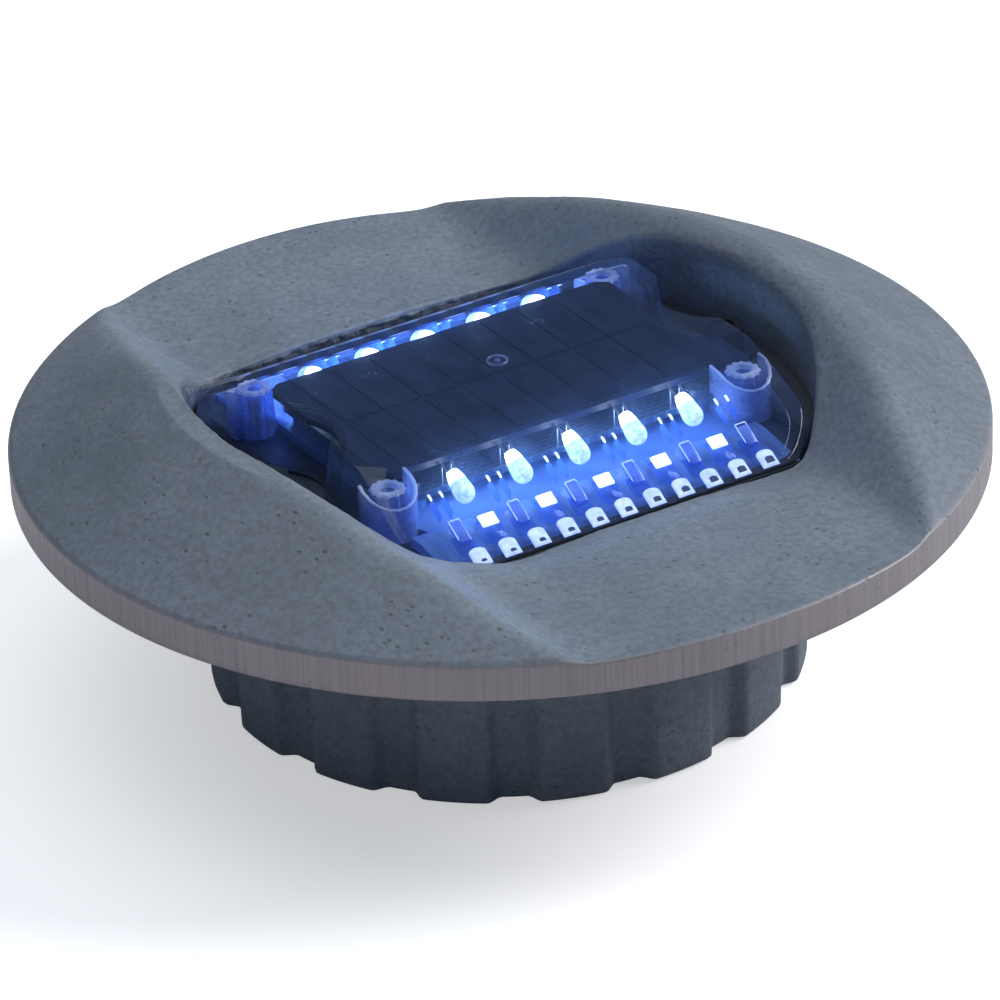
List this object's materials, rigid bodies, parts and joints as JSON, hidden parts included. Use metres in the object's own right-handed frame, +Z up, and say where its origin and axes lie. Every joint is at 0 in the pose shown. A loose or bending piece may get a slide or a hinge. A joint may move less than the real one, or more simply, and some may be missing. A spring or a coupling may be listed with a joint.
{
  "type": "raised pavement marker",
  "caption": "Round cast-iron road stud with guard shoulders, wheel ramps and a fluted skirt, holding a clear lamp insert that lifts out once its fixing screws are undone.",
  "frame": {"origin": "centre of the skirt's bottom face, on the casting's axis", "axes": "+Z up, X along the rows of lamps, +Y and -Y the two driving directions"},
  "size_m": [0.23, 0.23, 0.082],
  "materials": {
    "cast_iron": "sand-cast and painted slate grey, with a turned bare rim",
    "black_rubber": "soft moulded seal",
    "dark_case": "fine moulded grain",
    "clear_cover": "clear polished polycarbonate",
    "stainless_steel": "plain stainless",
    "board_laminate": "dark solder mask",
    "chip_body": "moulded epoxy",
    "capacitor_ceramic": "matte ceramic",
    "connector_plastic": "plain nylon",
    "gold_pins": "plated",
    "solar_backing": "dark laminate",
    "solar_cell": "dark blue silicon under a clear coat",
    "tinned_leads": "tinned wire",
    "prism_plastic": "clear moulded acrylic",
    "led_lens": "water-clear epoxy, lit cool blue",
    "battery_wrap": "shrink sleeve",
    "foam": "closed-cell foam",
    "wire_sleeve": "silicone sleeve"
  },
  "bodies": {
    "housing": {"housing_casting": "cast_iron", "ledge_gasket": "black_rubber"},
    "insert": {"base_tray": "dark_case", "cover_gasket": "black_rubber", "lens_cover": "clear_cover", "cover_screws": "stainless_steel", "board_carrier": "dark_case", "circuit_board": "board_laminate", "board_screws": "stainless_steel", "controller_chip": "chip_body", "power_inductor": "chip_body", "board_capacitors": "capacitor_ceramic", "battery_connector": "connector_plastic", "panel_spacer": "dark_case", "panel_pins": "gold_pins", "solar_laminate": "solar_backing", "solar_cells": "solar_cell", "led_leads": "tinned_leads", "front_prism_bar": "prism_plastic", "rear_prism_bar": "prism_plastic", "battery_cells": "battery_wrap", "battery_cradle": "dark_case", "foam_pad": "foam", "battery_wires": "wire_sleeve", "left_washer": "stainless_steel", "right_washer": "stainless_steel", "left_spring_washer": "stainless_steel", "right_spring_washer": "stainless_steel", "front_led_1": "led_lens", "front_led_2": "led_lens", "front_led_3": "led_lens", "front_led_4": "led_lens", "front_led_5": "led_lens", "rear_led_1": "led_lens", "rear_led_2": "led_lens", "rear_led_3": "led_lens", "rear_led_4": "led_lens", "rear_led_5": "led_lens"},
    "left_screw": {"left_fixing_screw": "stainless_steel"},
    "right_screw": {"right_fixing_screw": "stainless_steel"}
  },
  "joints": [
    {"name": "insert_lift", "type": "slide", "parent": "housing", "child": "insert", "axis": [0, 0, 1], "range_m": [0, 0.07]},
    {"name": "left_screw_turn", "type": "hinge", "parent": "insert", "child": "left_screw", "pos_m": [-0.063, 0, 0.06], "axis": [0, 0, 1], "continuous": true},
    {"name": "right_screw_turn", "type": "hinge", "parent": "insert", "child": "right_screw", "pos_m": [0.063, 0, 0.06], "axis": [0, 0, 1], "continuous": true}
  ]
}
